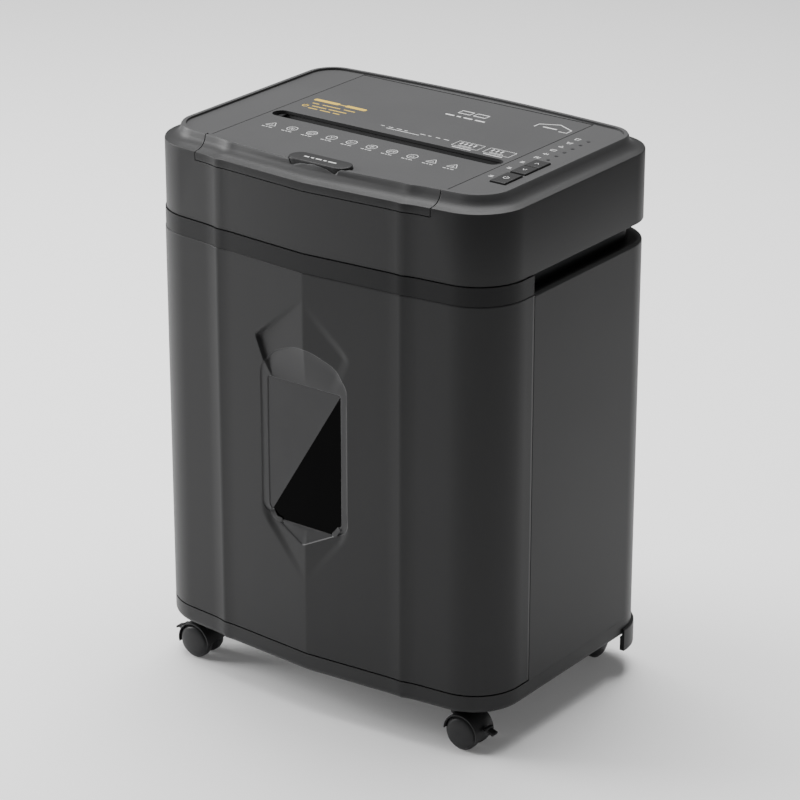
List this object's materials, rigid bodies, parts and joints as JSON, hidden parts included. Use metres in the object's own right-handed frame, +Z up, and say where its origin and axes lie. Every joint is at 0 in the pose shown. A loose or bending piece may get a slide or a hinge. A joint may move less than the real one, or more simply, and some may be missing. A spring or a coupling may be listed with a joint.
{
  "type": "paper shredder",
  "caption": "Tall automatic-feed paper shredder on casters: pull-out bin with a window, hinged feed lid with a manual slot, and a control strip.",
  "frame": {"origin": "on the floor, under the middle of the casing", "axes": "+Z up, -Y to the front (bin front and window), +X to the right as seen from the front"},
  "size_m": [0.371, 0.272, 0.4992],
  "materials": {
    "charcoal_plastic": "fine matte texture",
    "dark_plastic": "fine matte texture",
    "black_plastic": "matte",
    "caster_plastic": "satin",
    "gear_plastic": "satin",
    "steel": "turned and ground",
    "bronze": "sintered",
    "rubber": "matte",
    "smoked_glass": "dark, glossy, see-through",
    "circuit_board": "lacquered",
    "lens": "frosted"
  },
  "bodies": {
    "cabinet": {"base_plinth": "charcoal_plastic", "rear_foot_skirts": "charcoal_plastic", "left_side_panel": "charcoal_plastic", "right_side_panel": "charcoal_plastic", "back_panel": "charcoal_plastic", "cabinet_top_frame": "black_plastic", "cabinet_screws": "steel", "bin_switch": "black_plastic", "head_housing": "charcoal_plastic", "chassis_plate": "black_plastic", "feed_bay": "dark_plastic", "control_board": "circuit_board", "led_lenses": "lens", "rocker_frame": "black_plastic", "cord_gland": "black_plastic", "cutter_side_plates": "steel", "shaft_bushings": "bronze", "tie_rods": "steel", "gear_axles": "steel", "gear_cover": "black_plastic", "stripper_combs": "black_plastic", "motor": "steel"},
    "bin": {"bin_tub": "black_plastic", "bin_front_panel": "charcoal_plastic", "bin_window": "smoked_glass", "bin_handle_strip": "dark_plastic"},
    "lid": {"lid_panel": "charcoal_plastic", "lid_front_bar": "charcoal_plastic", "lid_liner": "dark_plastic", "lid_hinge_pins": "steel"},
    "presser": {"presser_plate": "dark_plastic"},
    "release_button": {"release_button": "charcoal_plastic"},
    "power_button": {"power_button": "charcoal_plastic"},
    "reverse_button": {"reverse_button": "charcoal_plastic"},
    "forward_button": {"forward_button": "charcoal_plastic"},
    "power_rocker": {"power_rocker": "black_plastic"},
    "front_cutter": {"front_cutter_shaft": "steel", "front_cutter_discs": "steel", "front_cutter_gear": "steel"},
    "rear_cutter": {"rear_cutter_shaft": "steel", "rear_cutter_discs": "steel", "rear_cutter_gear": "steel", "feed_drive_gear": "gear_plastic"},
    "first_reduction": {"first_reduction_gear": "gear_plastic"},
    "second_reduction": {"second_reduction_gear": "gear_plastic"},
    "motor_rotor": {"motor_pinion": "steel"},
    "feed_roller": {"feed_roller_shaft": "steel", "feed_tyres": "rubber", "feed_roller_gear": "gear_plastic"},
    "feed_idler": {"feed_idler_gear": "gear_plastic"},
    "caster_front_left_swivel": {"caster_front_left_hood": "caster_plastic"},
    "caster_front_left_wheelset": {"caster_front_left_wheels": "caster_plastic"},
    "caster_front_left_brake": {"caster_front_left_pedal": "caster_plastic"},
    "caster_front_right_swivel": {"caster_front_right_hood": "caster_plastic"},
    "caster_front_right_wheelset": {"caster_front_right_wheels": "caster_plastic"},
    "caster_front_right_brake": {"caster_front_right_pedal": "caster_plastic"},
    "caster_rear_left_swivel": {"caster_rear_left_hood": "caster_plastic"},
    "caster_rear_left_wheelset": {"caster_rear_left_wheels": "caster_plastic"},
    "caster_rear_right_swivel": {"caster_rear_right_hood": "caster_plastic"},
    "caster_rear_right_wheelset": {"caster_rear_right_wheels": "caster_plastic"}
  },
  "joints": [
    {"name": "bin_slide", "type": "slide", "parent": "cabinet", "child": "bin", "axis": [0, -1, 0], "range_m": [0, 0.2]},
    {"name": "lid_hinge", "type": "hinge", "parent": "cabinet", "child": "lid", "pos_m": [0, 0.1065, 0.4925], "axis": [-1, 0, 0], "range_deg": [0, 78]},
    {"name": "presser_slide", "type": "slide", "parent": "lid", "child": "presser", "axis": [0, 0, 1], "range_m": [0, 0.005], "stiffness_N_per_m": 150},
    {"name": "release_press", "type": "slide", "parent": "lid", "child": "release_button", "axis": [0, 0, -1], "range_m": [0, 0.0025], "stiffness_N_per_m": 400},
    {"name": "power_button_press", "type": "slide", "parent": "cabinet", "child": "power_button", "axis": [0, 0, -1], "range_m": [0, 0.001], "stiffness_N_per_m": 500},
    {"name": "reverse_button_press", "type": "slide", "parent": "cabinet", "child": "reverse_button", "axis": [0, 0, -1], "range_m": [0, 0.001], "stiffness_N_per_m": 500},
    {"name": "forward_button_press", "type": "slide", "parent": "cabinet", "child": "forward_button", "axis": [0, 0, -1], "range_m": [0, 0.001], "stiffness_N_per_m": 500},
    {"name": "rocker_tilt", "type": "hinge", "parent": "cabinet", "child": "power_rocker", "pos_m": [0.11, 0.1165, 0.445], "axis": [1, 0, 0], "range_deg": [-6, 6]},
    {"name": "rear_cutter_spin", "type": "hinge", "parent": "cabinet", "child": "rear_cutter", "pos_m": [0, -0.0042, 0.447], "axis": [1, 0, 0], "continuous": true},
    {"name": "front_cutter_spin", "type": "hinge", "parent": "cabinet", "child": "front_cutter", "pos_m": [0, -0.0372, 0.447], "axis": [1, 0, 0], "continuous": true},
    {"name": "first_reduction_spin", "type": "hinge", "parent": "cabinet", "child": "first_reduction", "pos_m": [0, 0.01846, 0.45756], "axis": [1, 0, 0], "continuous": true},
    {"name": "second_reduction_spin", "type": "hinge", "parent": "cabinet", "child": "second_reduction", "pos_m": [0, 0.04878, 0.45112], "axis": [1, 0, 0], "continuous": true},
    {"name": "motor_spin", "type": "hinge", "parent": "cabinet", "child": "motor_rotor", "pos_m": [0, 0.07767, 0.45365], "axis": [1, 0, 0], "continuous": true},
    {"name": "feed_idler_spin", "type": "hinge", "parent": "cabinet", "child": "feed_idler", "pos_m": [0, 0.01081, 0.45693], "axis": [1, 0, 0], "continuous": true},
    {"name": "feed_roller_spin", "type": "hinge", "parent": "cabinet", "child": "feed_roller", "pos_m": [0, 0.028, 0.4623], "axis": [1, 0, 0], "continuous": true},
    {"name": "caster_front_left_turn", "type": "hinge", "parent": "cabinet", "child": "caster_front_left_swivel", "pos_m": [-0.1375, -0.1005, 0.0395], "axis": [0, 0, 1], "continuous": true},
    {"name": "caster_front_left_roll", "type": "hinge", "parent": "caster_front_left_swivel", "child": "caster_front_left_wheelset", "pos_m": [-0.1475, -0.1005, 0.01575], "axis": [0, 1, 0], "continuous": true},
    {"name": "caster_front_left_brake_tilt", "type": "hinge", "parent": "caster_front_left_swivel", "child": "caster_front_left_brake", "pos_m": [-0.16755, -0.1005, 0.02175], "axis": [0, 1, 0], "range_deg": [-8, 8]},
    {"name": "caster_front_right_turn", "type": "hinge", "parent": "cabinet", "child": "caster_front_right_swivel", "pos_m": [0.1375, -0.1005, 0.0395], "axis": [0, 0, 1], "continuous": true},
    {"name": "caster_front_right_roll", "type": "hinge", "parent": "caster_front_right_swivel", "child": "caster_front_right_wheelset", "pos_m": [0.1475, -0.1005, 0.01575], "axis": [0, -1, 0], "continuous": true},
    {"name": "caster_front_right_brake_tilt", "type": "hinge", "parent": "caster_front_right_swivel", "child": "caster_front_right_brake", "pos_m": [0.16755, -0.1005, 0.02175], "axis": [0, -1, 0], "range_deg": [-8, 8]},
    {"name": "caster_rear_left_turn", "type": "hinge", "parent": "cabinet", "child": "caster_rear_left_swivel", "pos_m": [-0.134, 0.0955, 0.0395], "axis": [0, 0, 1], "continuous": true},
    {"name": "caster_rear_left_roll", "type": "hinge", "parent": "caster_rear_left_swivel", "child": "caster_rear_left_wheelset", "pos_m": [-0.134, 0.1055, 0.01575], "axis": [1, 0, 0], "continuous": true},
    {"name": "caster_rear_right_turn", "type": "hinge", "parent": "cabinet", "child": "caster_rear_right_swivel", "pos_m": [0.134, 0.0955, 0.0395], "axis": [0, 0, 1], "continuous": true},
    {"name": "caster_rear_right_roll", "type": "hinge", "parent": "caster_rear_right_swivel", "child": "caster_rear_right_wheelset", "pos_m": [0.134, 0.1055, 0.01575], "axis": [1, 0, 0], "continuous": true}
  ],
  "couplings": [
    {"joint": "front_cutter_spin", "follows": "rear_cutter_spin", "ratio": -1},
    {"joint": "first_reduction_spin", "follows": "rear_cutter_spin", "ratio": -2.5714},
    {"joint": "second_reduction_spin", "follows": "rear_cutter_spin", "ratio": 8.8163},
    {"joint": "motor_spin", "follows": "rear_cutter_spin", "ratio": -27.708},
    {"joint": "feed_idler_spin", "follows": "rear_cutter_spin", "ratio": -1},
    {"joint": "feed_roller_spin", "follows": "rear_cutter_spin", "ratio": 1}
  ]
}
